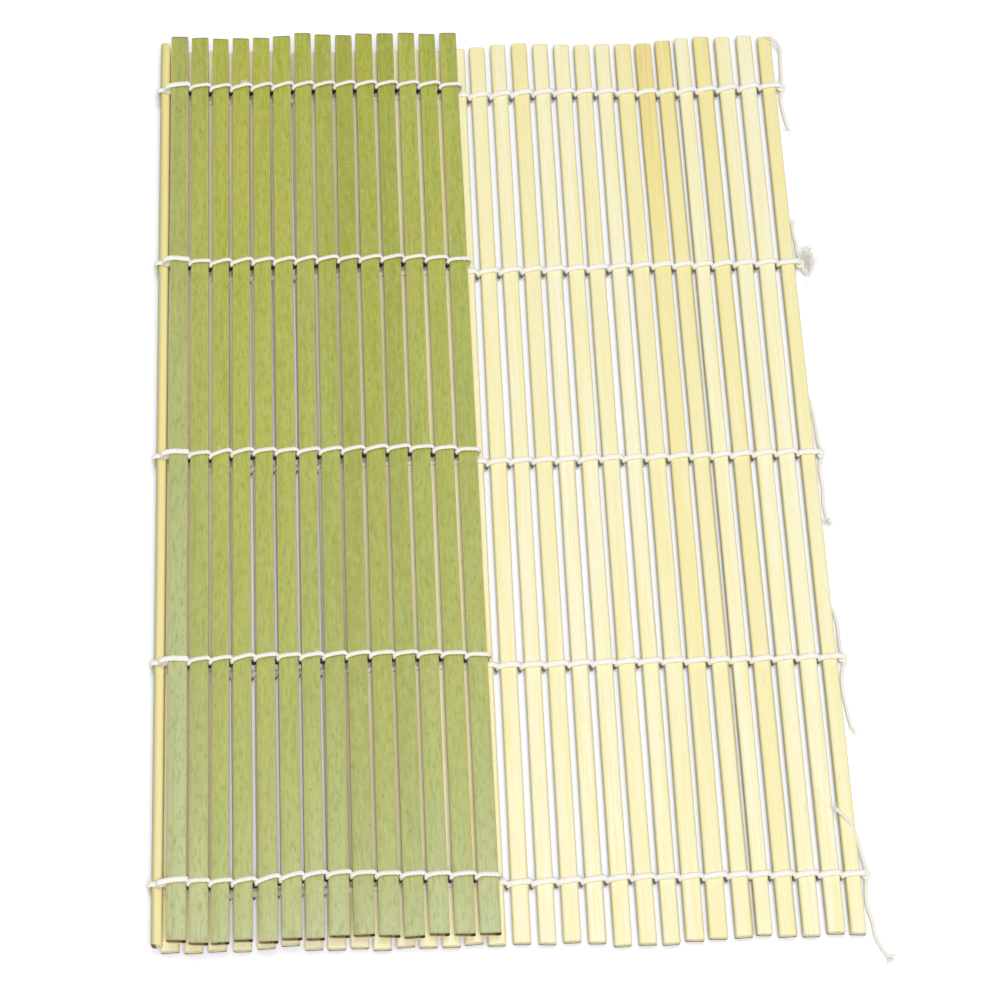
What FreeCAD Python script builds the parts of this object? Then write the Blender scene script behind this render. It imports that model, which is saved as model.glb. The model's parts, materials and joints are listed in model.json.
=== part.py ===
"""Bamboo sushi rolling mat, folded over once near one edge.

Flat slats with a green skin face and a pale inner face lie side by side along Y. Five cotton
threads are twined round them: each thread runs along the row as two strands that change sides
in every gap, turns back round the last slat and is knotted beside the first one. The slats are
counted from the knotted edge (right, +X) to the fold (left) and back along the upper layer.
"""
import FreeCAD, Part
import math
import os

# Driving dimensions in millimetres, angles in degrees
slat_length = 240.0
slat_width = 4.2
slat_thickness = 2.5
pale_edge_radius = 1.0
skin_edge_radius = 0.25
lower_count = 30
upper_count = 14

thread_diameter = 0.75
thread_clearance = 0.15
snug_side_clearance = 0.14
loose_side_clearance = 0.27
strand_gap = 0.5
row_count = 5
row_inset = 14.0

layer_clearance = 0.45
fold_turn = 90.0
fold_skew = 1.5
pinch_bend_radius = 1.2

knot_diameter = 2.2
tail_lengths = [(20.0, 18.0), (16.0, 13.0), (17.0, 14.0), (5.0, 10.0), (11.0, 12.0)]
tail_reach = 1.6
tail_bend = 1.4

# Values that follow from the driving dimensions
slat_count = lower_count + 1 + upper_count
fold_hinge = lower_count
thread_radius = thread_diameter / 2
lift = thread_radius + thread_clearance
thread_height = slat_thickness / 2 + lift
pale_bend_radius = pale_edge_radius + lift
skin_bend_radius = skin_edge_radius + lift
crossing_offset = (thread_diameter + strand_gap) / 2
snug_gap = thread_diameter + 2 * snug_side_clearance
loose_gap = thread_diameter + 2 * loose_side_clearance
knot_radius = knot_diameter / 2
row_spacing = (slat_length - 2 * row_inset) / (row_count - 1)
row_places = [row * row_spacing - slat_length / 2 + row_inset for row in range(row_count)]

Vector = FreeCAD.Vector
along_slats = Vector(0, 1, 0)


def turned(direction, angle):
    """A direction turned about the slats' length, from the lower layer up towards the fold."""
    return FreeCAD.Rotation(along_slats, angle).multVec(direction)


def pivot_shift(turn):
    """How far towards the pale face a hinge axis moves so that its thread passes the pinch."""
    half = math.radians(turn) / 2
    arc_place = loose_gap / 2 + pale_edge_radius
    arc_height = slat_thickness / 2 - pale_edge_radius
    return (pale_bend_radius - arc_place * math.cos(half)) / math.sin(half) + arc_height


def upper_tilt():
    """Slope of the upper layer, from the top of the fold to its free edge on the lower layer."""
    pitch = slat_width + loose_gap
    height_at_fold = pitch + 2 * pivot_shift(fold_turn)
    height_at_edge = 2 * (thread_height + thread_radius) + layer_clearance
    return math.degrees(math.asin((height_at_fold - height_at_edge) / (upper_count * pitch)))


def hinge_turn(hinge):
    """Angle between the two slats at a hinge, as the mat lies folded."""
    if hinge == fold_hinge:
        return fold_turn
    if hinge == fold_hinge + 1:
        return fold_turn + upper_tilt()
    return 0.0


def hinge_gap(hinge):
    """Room between the two slats at a hinge. The covered part of the lower layer is snug."""
    covered = fold_hinge - upper_count <= hinge < fold_hinge
    return snug_gap if covered else loose_gap


class Slat:
    """Place of one slat: its middle, its slope and the directions along the mat and to the pale face."""

    def __init__(self, middle, angle):
        self.middle = middle
        self.angle = angle
        self.onward = turned(Vector(-1, 0, 0), angle)
        self.pale = turned(Vector(0, 0, 1), angle)


class Hinge:
    """Place of one hinge between two neighbouring slats, in the middle of their gap."""

    def __init__(self, number, before):
        self.turn = hinge_turn(number)
        self.reach = (slat_width + hinge_gap(number)) / 2
        self.shift = pivot_shift(self.turn) if self.turn else 0.0
        self.pivot = before.middle + before.onward * self.reach + before.pale * self.shift
        self.inward = turned(before.pale, self.turn / 2)


def next_slat(before, hinge):
    """The slat after a hinge. The two fold hinges share the upper layer's slip along the slats."""
    after = Slat(hinge.pivot, before.angle + hinge.turn)
    after.middle = hinge.pivot + after.onward * hinge.reach - after.pale * hinge.shift
    if hinge.turn:
        after.middle += along_slats * fold_skew / 2
    return after


def lay_mat(first_middle):
    """All slats and hinges in order, from the knotted edge to the free edge on top."""
    mat_slats = [Slat(first_middle, 0.0)]
    mat_hinges = []
    for number in range(1, slat_count):
        hinge = Hinge(number, mat_slats[-1])
        mat_hinges.append(hinge)
        mat_slats.append(next_slat(mat_slats[-1], hinge))
    return mat_slats, mat_hinges


def slat_section():
    """Outline of a slat: flat skin face below, pale face above with rounded long edges."""
    half = slat_width / 2
    top = slat_thickness / 2
    pale = pale_edge_radius
    skin = skin_edge_radius
    diagonal = 1 - math.sqrt(0.5)

    def point(x, z):
        return Vector(x, -slat_length / 2, z)

    def arc(start, middle, end):
        return Part.Arc(point(*start), point(*middle), point(*end)).toShape()

    def line(start, end):
        return Part.LineSegment(point(*start), point(*end)).toShape()

    skin_middle = half - skin * diagonal, skin * diagonal - top
    pale_middle = half - pale * diagonal, top - pale * diagonal
    return Part.Wire([
        line((skin - half, -top), (half - skin, -top)),
        arc((half - skin, -top), skin_middle, (half, skin - top)),
        line((half, skin - top), (half, top - pale)),
        arc((half, top - pale), pale_middle, (half - pale, top)),
        line((half - pale, top), (pale - half, top)),
        arc((pale - half, top), (-pale_middle[0], pale_middle[1]), (-half, top - pale)),
        line((-half, top - pale), (-half, skin - top)),
        arc((-half, skin - top), (-skin_middle[0], skin_middle[1]), (skin - half, -top)),
    ])


def make_slat(place):
    solid = Part.Face(slat_section()).extrude(along_slats * slat_length)
    solid.Placement = FreeCAD.Placement(place.middle, FreeCAD.Rotation(along_slats, place.angle))
    return solid


def crossing(hinge, before, after, from_pale):
    """Corners, with their bend radii, of a strand that changes sides at a hinge."""
    inner_reach = (thread_height - hinge.shift) / math.cos(math.radians(hinge.turn) / 2)
    inner = hinge.pivot + hinge.inward * inner_reach, pale_bend_radius
    green_slat = after if from_pale else before
    outer = hinge.pivot - green_slat.pale * (thread_height + hinge.shift), skin_bend_radius
    pinch = [(hinge.pivot, pinch_bend_radius)] if hinge.turn else []
    row_offset = -crossing_offset if from_pale else crossing_offset
    corners = [inner] + pinch + [outer] if from_pale else [outer] + pinch + [inner]
    return [(place + along_slats * row_offset, radius) for place, radius in corners]


def strand_corners(first_side):
    """Corners of one strand from beside the first slat to the free edge, first on the pale face or not."""
    on_pale = first_side
    corners = []
    for number, hinge in enumerate(hinges):
        corners += crossing(hinge, slats[number], slats[number + 1], on_pale)
        on_pale = not on_pale
    return corners, on_pale


def bend_radius(on_pale):
    return pale_bend_radius if on_pale else skin_bend_radius


def edge_corner(middle, pale, on_pale):
    """Corner of a strand that goes round the outer edge of the first or the last slat."""
    side = 1 if on_pale else -1
    return middle + pale * thread_height * side, bend_radius(on_pale)


def knot_middle():
    first = slats[0]
    return first.middle - first.onward * (slat_width / 2 + thread_clearance + knot_radius)


def thread_route():
    """Corners of a whole thread: out along the row, round the free edge and back to the knot."""
    first = slats[0]
    last = slats[-1]
    knot = knot_middle()
    turn_back = last.middle + last.onward * (slat_width + loose_gap) / 2
    out, out_on_pale = strand_corners(True)
    back, back_on_pale = strand_corners(False)
    route = [(knot + first.pale * thread_radius, 0.0), edge_corner(knot, first.pale, True)]
    route += out
    route += [edge_corner(turn_back, last.pale, out_on_pale), edge_corner(turn_back, last.pale, back_on_pale)]
    route += back[::-1]
    route += [edge_corner(knot, first.pale, False), (knot - first.pale * thread_radius, 0.0)]
    return route


def route_edges(route):
    """Straight runs joined by tangent arcs along the corners of a route."""
    inner_share = 0.49
    end_share = 0.95
    start = route[0][0]
    last_corner = len(route) - 2
    edges = []
    for number in range(1, len(route) - 1):
        corner, radius = route[number]
        back = route[number - 1][0] - corner
        ahead = route[number + 1][0] - corner
        back_room = back.Length * (end_share if number == 1 else inner_share)
        ahead_room = ahead.Length * (end_share if number == last_corner else inner_share)
        half = (math.pi - back.getAngle(ahead)) / 2
        tangent = min(radius * math.tan(half), back_room, ahead_room)
        radius = tangent / math.tan(half)
        back.normalize()
        ahead.normalize()
        inward = (back + ahead).normalize()
        middle = corner + inward * (radius / math.cos(half) - radius)
        edges.append(Part.LineSegment(start, corner + back * tangent).toShape())
        edges.append(Part.Arc(corner + back * tangent, middle, corner + ahead * tangent).toShape())
        start = corner + ahead * tangent
    edges.append(Part.LineSegment(start, route[-1][0]).toShape())
    return edges


def make_tube(edges):
    """A round thread along a chain of edges."""
    path = Part.Wire(edges)
    start = edges[0].valueAt(edges[0].FirstParameter)
    tangent = edges[0].tangentAt(edges[0].FirstParameter)
    ring = Part.Wire(Part.Circle(start, tangent, thread_radius).toShape())
    return path.makePipeShell([ring], True, False)


def tail_route(side, length):
    """A loose end that leaves the knot, sinks to the table and lies beside the first slat."""
    knot = knot_middle()
    corners = [
        (0.0, 0.0, 0.0),
        (tail_reach, tail_bend, -thread_height / 2),
        (tail_reach + tail_bend / 2, length / 2, -thread_height),
        (tail_reach, length, -thread_height),
    ]
    return [(knot + Vector(x, side * y, z), length) for x, y, z in corners]


def least_self_gap(edges):
    """Least room between parts of a thread that are far apart along it, measured on points."""
    step = thread_radius
    nearby = 4 * thread_diameter
    knot = knot_middle()
    points = []
    run = 0.0
    for edge in edges:
        count = max(2, math.ceil(edge.Length / step))
        for share in range(count):
            place = edge.getParameterByLength(edge.Length * share / count)
            point = edge.valueAt(place)
            if (point - knot).Length > knot_diameter:
                points.append((run + edge.Length * share / count, point))
        run += edge.Length
    cells = {}
    for place, point in points:
        cell = tuple(math.floor(value / nearby) for value in point)
        cells.setdefault(cell, []).append((place, point))
    least = nearby
    for place, point in points:
        cell = [math.floor(value / nearby) for value in point]
        for number in range(27):
            offset = number // 9 - 1, number // 3 % 3 - 1, number % 3 - 1
            key = tuple(value + shift for value, shift in zip(cell, offset))
            for other_place, other in cells.get(key, []):
                if abs(other_place - place) > nearby:
                    least = min(least, (point - other).Length)
    return least - thread_diameter


def make_thread(row):
    """A binding thread with its knot and its two loose ends, in its row."""
    knot = Part.makeSphere(knot_radius, knot_middle())
    near_length, far_length = tail_lengths[row]
    tails = [
        make_tube(route_edges(tail_route(-1, near_length))),
        make_tube(route_edges(tail_route(1, far_length))),
    ]
    thread = twined_tube.fuse([knot] + tails)
    thread.translate(along_slats * row_places[row])
    return thread.Solids[0]


slats, hinges = lay_mat(Vector(0, 0, thread_height + thread_radius))
twined_edges = route_edges(thread_route())
twined_tube = make_tube(twined_edges)

shapes = {f"slat_{number + 1:02d}": make_slat(place) for number, place in enumerate(slats)}
for row in range(row_count):
    shapes[f"binding_thread_{row + 1}"] = make_thread(row)

# The origin is on the table under the middle of the whole mat
box = Part.Compound(list(shapes.values())).BoundBox
to_origin = Vector(-box.Center.x, -box.Center.y, 0)
pivots = [hinge.pivot + to_origin for hinge in hinges]

os.makedirs("parts", exist_ok=True)
for name, shape in shapes.items():
    shape.translate(to_origin)
    shape.exportStep(f"parts/{name}.step")

arc_radii = [edge.Curve.Radius for edge in twined_edges if edge.Curve.TypeId == "Part::GeomCircle"]
twined_length = sum(edge.Length for edge in twined_edges)
print(f"thread length {twined_length:.1f}, bend radii {min(arc_radii):.2f} to {max(arc_radii):.2f}")
print(f"thread volume {twined_tube.Volume:.2f}, section times length",
      f"{math.pi * thread_radius ** 2 * twined_length:.2f}")
print(f"least gap of a thread to itself {least_self_gap(twined_edges):.2f}")
print(f"box {box.XLength:.2f} x {box.YLength:.2f} x {box.ZLength:.2f}, from z {box.ZMin:.3f}")
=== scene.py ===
import json
import math
import random

import bmesh
import bpy
from mathutils import Matrix, Vector, noise

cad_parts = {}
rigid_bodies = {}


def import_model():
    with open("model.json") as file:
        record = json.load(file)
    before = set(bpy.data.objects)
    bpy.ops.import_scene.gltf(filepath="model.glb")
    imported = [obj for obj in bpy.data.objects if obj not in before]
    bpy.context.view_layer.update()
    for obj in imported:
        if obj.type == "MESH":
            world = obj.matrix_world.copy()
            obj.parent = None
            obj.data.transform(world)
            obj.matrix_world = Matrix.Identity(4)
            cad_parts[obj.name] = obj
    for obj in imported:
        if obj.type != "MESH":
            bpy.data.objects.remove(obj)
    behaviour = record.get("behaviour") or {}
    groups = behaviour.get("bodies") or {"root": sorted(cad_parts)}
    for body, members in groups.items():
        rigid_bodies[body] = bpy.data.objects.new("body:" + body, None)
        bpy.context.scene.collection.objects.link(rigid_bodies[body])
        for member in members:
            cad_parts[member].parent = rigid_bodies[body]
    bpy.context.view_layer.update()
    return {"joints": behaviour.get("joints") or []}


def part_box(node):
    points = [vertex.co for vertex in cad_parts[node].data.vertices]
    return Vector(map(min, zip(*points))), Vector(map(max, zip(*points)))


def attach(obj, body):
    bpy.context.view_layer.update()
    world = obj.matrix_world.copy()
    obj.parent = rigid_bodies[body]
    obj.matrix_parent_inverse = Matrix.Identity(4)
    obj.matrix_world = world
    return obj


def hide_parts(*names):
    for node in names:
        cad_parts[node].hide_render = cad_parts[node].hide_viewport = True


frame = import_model()

# Lengths are in millimetres, and MM turns them into the frame's metres
MM = 0.001
ALONG = Vector((0, 1, 0))

# The photograph's camera
PHOTO_SIDE = 1001
SENSOR_SIDE = 36.0
FOCAL_PIXELS = 2492.9
CAMERA_PLACE = (-24.21, -254.12, 557.32)
CAMERA_YAW = 5.796
CAMERA_PITCH = 65.976
CAMERA_ROLL = 3.481
CAMERA_CLIP = (0.01, 50.0)

# The slats, as in the CAD model
SLAT_COUNT = 45
LAST_LOWER = 30
FOLD_SLAT = 31
HALF_LENGTH = 120.0
HALF_WIDTH = 2.1
HALF_THICKNESS = 1.25

# Their section as it looks: edge radii, the skin's crown and how much of each end is brown
PALE_EDGE = 0.7
SKIN_EDGE = 0.3
ROUND_SKIN_EDGE = 0.7
SKIN_CROWN = 0.06
END_RIM = 0.25
SKIN_POINTS = 9
SKIN_CORNER_POINTS = 4
PALE_CORNER_POINTS = 6
PALE_POINTS = (0.55, 0.0, -0.55)
CORNER_SKIN_SIDES = 2

# Widths as shares of the regular one, the first slats of a kind, and how far out the slat on edge lies
OPEN_GIRTH = 0.98
WIDE_GIRTH = 1.08
WIDE_TAPER = 0.04
FIRST_WIDE = 39
FIRST_COVERED = 17
FOLD_SHIFT = 0.35

# The small faults of a slat: limits of its lean, bow, twist in degrees, width, length and slanted ends
FAULT_SEED = 700
LEAN = 0.08
BOW = 0.15
TWIST = 1.3
WIDTHS = (0.985, 1.015)
CUTS = (-0.5, 0.4)
SLANT = 0.05
RIPPLE = 0.06
GIRTH_RIPPLE = 0.025

# Rounding of a slat's ends: limits for the corners, the faces, and both for the slat on edge, near end first
END_CORNERS = (0.15, 0.4)
END_FACES = (0.15, 0.15)
FOLD_CORNERS = (0.7, 1.0)
FOLD_FACES = (0.4, 1.0)
SLANTED_REACH = 2.0

# Sections of a slat: steps in from its tip, how many there are between, and the rings of a crowned end
TIP_STEPS = (0.0, 0.03, 0.09, 0.2, 0.4, 0.8, 1.5)
STATION_COUNT = 46
CAP_RINGS = ((0.6, 0.07), (0.25, 0.1))
CAP_RISE = 0.11

# How far right of its place in a regular mat the photograph shows a slat, at its far and near end
FAR_DRIFT = ((1, -0.5), (2, -0.4), (3, -0.8), (4, -0.9), (5, -0.65), (6, -0.2), (8, 0.0), (11, 0.2),
             (15, -0.2), (17, 0.0), (22, -0.2), (23, -0.3), (24, 0.3), (25, -0.6), (30, -0.6), (31, 0.0),
             (32, 0.8), (36, 0.0), (41, -0.7), (45, -0.6))
NEAR_DRIFT = ((1, -0.4), (2, 0.1), (4, 0.05), (5, 0.2), (6, 1.1), (7, 0.8), (10, 1.1), (12, 0.7), (14, 0.3),
              (16, -0.1), (17, 0.0), (22, 0.3), (25, 0.5), (27, 0.0), (28, -0.45), (30, -0.5), (31, 0.0),
              (32, 1.5), (33, 0.9), (34, 0.25), (35, -0.1), (36, 0.0), (37, -0.3), (39, -0.65),
              (43, -0.25), (45, 0.2))

# How far right the middle of a bowed slat lies, and how wide the uneven ones are
BOWED_SLATS = {6: 0.3, 7: 0.4, 8: 0.3, 10: -0.25}
UNEVEN_GIRTHS = {1: 0.85, 4: 1.01, 5: 0.88, 7: 1.02, 8: 1.02, 9: 0.95, 12: 0.96, 14: 0.94,
                 32: 1.05, 33: 1.03, 34: 0.96, 36: 1.03, 37: 1.1, 38: 1.03}

# How much further than in a regular mat a slat reaches at its far and near end
FAR_REACH = ((1, 1.8), (3, 2.4), (5, 1.6), (7, 1.1), (9, 0.6), (12, 1.5), (15, 0.8), (17, 0.0), (24, 0.5),
             (27, 1.2), (30, 1.5), (31, 1.4), (32, -0.4), (34, -0.8), (37, 0.2), (39, 0.8), (41, 0.2),
             (45, 0.6))
NEAR_REACH = ((1, 1.0), (2, 0.1), (3, 1.2), (5, 0.3), (7, 0.6), (9, 1.4), (12, 0.9), (14, 0.0), (17, -0.4),
              (22, -0.3), (23, -0.6), (24, -0.4), (25, -1.8), (26, -1.2), (30, -1.2), (31, -1.4), (32, 0.0),
              (35, 0.4), (38, 0.2), (43, 0.2), (44, 0.8), (45, 0.8))

# How far from its regular place a row of thread runs along the slats, near row first
ROW_DRIFT = (
    ((1, -0.9), (3, -0.7), (5, -0.3), (10, 0.0), (15, -0.2), (28, 0.0), (30, 0.6), (31, 0.9), (32, 0.2),
     (33, -0.75), (35, -0.65), (37, 0.2), (38, 0.65), (40, 0.4), (41, 0.0), (43, -0.35), (45, -0.8)),
    ((1, -1.0), (5, -1.1), (8, -0.6), (15, -0.4), (29, -0.1), (30.5, 1.1), (31.5, 0.6), (32.5, -0.5),
     (34, -0.4), (35.5, 0.0), (43, 0.0), (45, -0.8)),
    ((1, -0.4), (8, -0.4), (15, -0.2), (29, 0.0), (30.5, 1.4), (31.5, 0.9), (32.5, -0.3), (33.5, -0.6),
     (35.5, -0.1), (43, 0.0), (45, -0.6)),
    ((1, 0.2), (8, 0.2), (15, -0.2), (29, 0.0), (30.5, 1.7), (31.5, 1.3), (32.5, -0.3), (33.5, -0.8),
     (35.5, -0.4), (43, 0.0), (45, -0.6)),
    ((1, 0.3), (3, -0.3), (6, -0.9), (9, -0.3), (12, 0.0), (15, -0.7), (28, -0.5), (30.5, -0.1),
     (31.5, -0.6), (32.5, -1.5), (34, -2.0), (37, -1.5), (41, -1.2), (45, -1.6)),
)

# Where the rows of thread lie, and how far from its row's middle a strand passes a gap
ROW_PLACES = (-106.0, -53.0, 0.0, 53.0, 106.0)
CROSSINGS = (0.42, 0.42, 0.5, 0.55, 0.62)
FOLD_CROSSING = 0.4
WANDER = 0.3
JITTER = 0.07

# The yarn: its plies and their turn, how flat it is, and its fibres
PLY_COUNT = 3
THREAD_RADIUS = 0.42
PLY_TURN = 2.6
PLY_DEPTH = 0.12
THREAD_WIDE = 1.65
YARN_SIDES = 12
FIBRE_SIDES = 5
FIBRE_RADIUS = 0.045
FIBRE_TAPER = 0.75
END_BULGE = ((0.8, 0.6), (0.45, 0.89))
ROUTE_STEPS = 8
TWIST_SEED = 5

# How a strand leaves a gap: heights of the faces' strands, steps along the slat, and the bend at the fold
PALE_HEIGHT = 1.76
SKIN_HEIGHT = 1.73
STEEP_RISE = 0.5
DEEP_DIP = 0.5
GAP_HEIGHT = 0.8
GAP_LEAN = 0.25
LANE_REACH = 1.3
FLAT_BEND = 0.1
FOLD_TUCK = 0.6
FOLD_RUN = 0.9
FOLD_LIFT = 0.05

# A strand at the knotted and the free edge: across the slat, and as a share of its face's height
KNOT_REACH = 3.3
EDGE_REACH = 2.68
KNOT_PATH = ((-KNOT_REACH, 0.2), (-2.8, 0.75), (-2.35, 1.0), (-1.2, 1.0))
LOOP_PATH = ((EDGE_REACH, 0.0), (EDGE_REACH, 0.6), (2.45, 1.0), (1.3, 1.0))
KNOT_SIZE = 0.36
KNOT_STEPS = 21
KNOT_TURNS = (0.6, 1.4)
KNOT_SEED = 40

# Where a strand in a gap turns dark with painted shade, from the slat's middle plane, and how much on lower
# slats and far lanes
UPPER_DARK = 1.4
LOWER_DARK = 0.8
DARK_SPAN = 0.4
LOWER_SHADE = 0.8
FAR_SHADE = 0.4

# The table in metres: its half side, how far it lies below the mat, and where it turns white
TABLE_SIDE = 6.0
TABLE_DROP = 0.0001
TABLE_NEAR = 0.2
TABLE_FAR = 0.5

# Colours of the table as light finds it and as it is seen: its shaded part and the light sheet over it
WHITE = (1.0, 1.0, 1.0)
TABLE_TINT = (0.82, 0.82, 0.82)
SHADED_TINT = (0.78, 0.78, 0.76)
SHEET_TINT = (0.28, 0.285, 0.36)

# Light from all round, and the lamps' places in metres, sizes, powers and tints
DAYLIGHT = 0.36
TOP_LAMP = ((0.03, -0.01, 1.0), 0.34, 3.0, (0.88, 0.95, 1.0))
FRONT_LAMP = ((0.14, -0.60, 1.45), 0.4, 10.4, (1.0, 0.98, 0.94))

# Materials of a slat, by the index of its faces
SKIN, INNER, END = 0, 1, 2

# A mix node's sockets for colours
MIX_FIRST, MIX_SECOND, MIX_RESULT = 6, 7, 2

# Slats that stand out in the photograph, at their near and far end or all along; the straw slats' lower near
# values are painted sheen at the near end
STRAW_SLATS = {1: (0.25, 0.95), 4: (0.55, 1.05), 6: (0.35, 1.15), 7: (0.55, 1.3), 8: (0.35, 0.8),
               10: (0.3, 0.55), 13: (0.25, 0.85), 15: (0.3, 0.5), 31: (0.75, 1.1)}
STAINED_SLATS = {4: 0.3, 6: 0.5, 9: 0.2, 12: 0.2}
YELLOW_SLATS = {35: 0.6, 36: 0.6, 37: 0.3, 40: 0.6, 41: 0.8}
GREY_SLATS = {32: 1.0, 33: 0.3, 38: 0.15, 39: 0.15, 43: 0.2, 44: 0.1, 45: 0.35}
DEEP_SLATS = {39: 0.3, 40: 0.9, 41: 0.5, 42: 0.7}

# The other slats' warmth, how tones change from near to far with painted sheen paling the near ends, and how
# covered slats are lightened with painted light against the upper layer's shade
TONE_SEED = 90
USUAL_WARMTH = 0.2
SHEEN_PALING = 0.12
NEAR_PAINTED_SHEEN = 2.0
UPPER_SHEEN_FADE = 0.4
LOWER_SHEEN_FADE = 1.6
PAINTED_LIGHT_STEP = 0.15
COVERED_PAINTED_LIGHT = 0.6

# Slat and row, counted from the near one, where the thread has a tuft, and how many fibres it has
TUFTS = {(35, 4): 60, (38, 1): 30}
TUFT_AIM = (-0.4, 0.7, 0.4)
TUFT_LENGTH = 1.6


def colour(code):
    """Linear colour of an sRGB code such as #C0C892."""
    parts = [int(code[place:place + 2], 16) / 255 for place in (1, 3, 5)]
    linear = [((part + 0.055) / 1.055) ** 2.4 if part > 0.04045 else part / 12.92 for part in parts]
    return (*linear, 1.0)


class Slat:
    """A slat's own frame: u along the chain of slats, v along its length, w towards its pale face."""

    def __init__(self, number):
        self.number = number
        self.name = f"slat_{number:02d}"
        low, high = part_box(self.name)
        self.middle = (low + high) / 2
        self.turn = slat_turn(number)
        angle = math.radians(self.turn)
        self.onward = Vector((-math.cos(angle), 0, math.sin(angle)))
        self.pale = Vector((math.sin(angle), 0, math.cos(angle)))
        self.shift = FOLD_SHIFT if number == FOLD_SLAT else 0.0

    def at(self, u, v, w):
        return self.middle + MM * (u * self.onward + v * ALONG + w * self.pale)

    def drift(self, v):
        """How far along u the real slat lies off its regular place, at v."""
        share = (v / HALF_LENGTH + 1) / 2
        near, far = read_drift(NEAR_DRIFT, self.number), read_drift(FAR_DRIFT, self.number)
        bow = BOWED_SLATS.get(self.number, 0.0) * (1 - (v / HALF_LENGTH) ** 2)
        return (near + (far - near) * share + bow) * self.onward.x

    def inside(self, place):
        """A place of the frame as this slat's u, v and w."""
        offset = (place - self.middle) / MM
        return offset.dot(self.onward), offset.dot(ALONG), offset.dot(self.pale)


def read_drift(points, number):
    """The value at a slat's number between the points of a drift, or nothing outside them."""
    for (before, start), (after, end) in zip(points, points[1:]):
        if before <= number <= after:
            return start + (end - start) * (number - before) / (after - before)
    return 0.0


def slat_turn(number):
    """How far a slat is turned over about its length, in degrees."""
    if number <= LAST_LOWER:
        return 0.0
    lower, upper = JOINTS["fold_lower_hinge"], JOINTS["fold_upper_hinge"]
    if number == FOLD_SLAT:
        return lower["range_deg"][1]
    return lower["range_deg"][1] + upper["range_deg"][1]


class Hinge:
    """The gap after a slat: where its axis is, and how far the mat bends there."""

    def __init__(self, before, after):
        joint = PAIRS[frozenset((before.name, after.name))]
        self.pivot = Vector(joint["pos_m"])
        self.pivot.y = before.middle.y
        self.half_turn = math.radians(after.turn - before.turn) / 2
        self.number = before.number


JOINTS = {joint["name"]: joint for joint in frame["joints"]}
PAIRS = {frozenset((joint["parent"], joint["child"])): joint for joint in frame["joints"]}
SLATS = [Slat(number) for number in range(1, SLAT_COUNT + 1)]
HINGES = [Hinge(before, after) for before, after in zip(SLATS, SLATS[1:])]


class Shape:
    """A piece's points and faces while it is made, with the coordinates that its materials follow."""

    def __init__(self):
        self.points = []
        self.grain = []
        self.place = []
        self.tone = []
        self.faces = []
        self.kinds = []

    def add(self, point, grain, place, tone):
        self.points.append(point)
        self.grain.append(grain)
        self.place.append(place)
        self.tone.append(tone)
        return len(self.points) - 1

    def face(self, corners, kind=0):
        self.faces.append(corners)
        self.kinds.append(kind)

    def bridge(self, ring, following, kinds=None):
        """Faces between two rings of the same number of points."""
        count = len(ring)
        for place in range(count):
            after = (place + 1) % count
            kind = kinds[place] if kinds else 0
            self.face((ring[place], ring[after], following[after], following[place]), kind)

    def fan(self, ring, tip, kind=0):
        for place in range(len(ring)):
            self.face((ring[place], ring[(place + 1) % len(ring)], tip), kind)

    def make(self, name, materials):
        mesh = bpy.data.meshes.new(name)
        mesh.from_pydata(self.points, [], self.faces)
        mesh.polygons.foreach_set("material_index", self.kinds)
        mesh.polygons.foreach_set("use_smooth", [True] * len(self.faces))
        for label, vectors in (("grain", self.grain), ("place", self.place), ("tone", self.tone)):
            layer = mesh.attributes.new(label, "FLOAT_VECTOR", "POINT")
            layer.data.foreach_set("vector", [value for vector in vectors for value in vector])
        face_outward(mesh)
        for material in materials:
            mesh.materials.append(material)
        piece = bpy.data.objects.new(name, mesh)
        bpy.context.scene.collection.objects.link(piece)
        return piece


def face_outward(mesh):
    edited = bmesh.new()
    edited.from_mesh(mesh)
    bmesh.ops.recalc_face_normals(edited, faces=edited.faces)
    edited.to_mesh(mesh)
    edited.free()


# Materials

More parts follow.
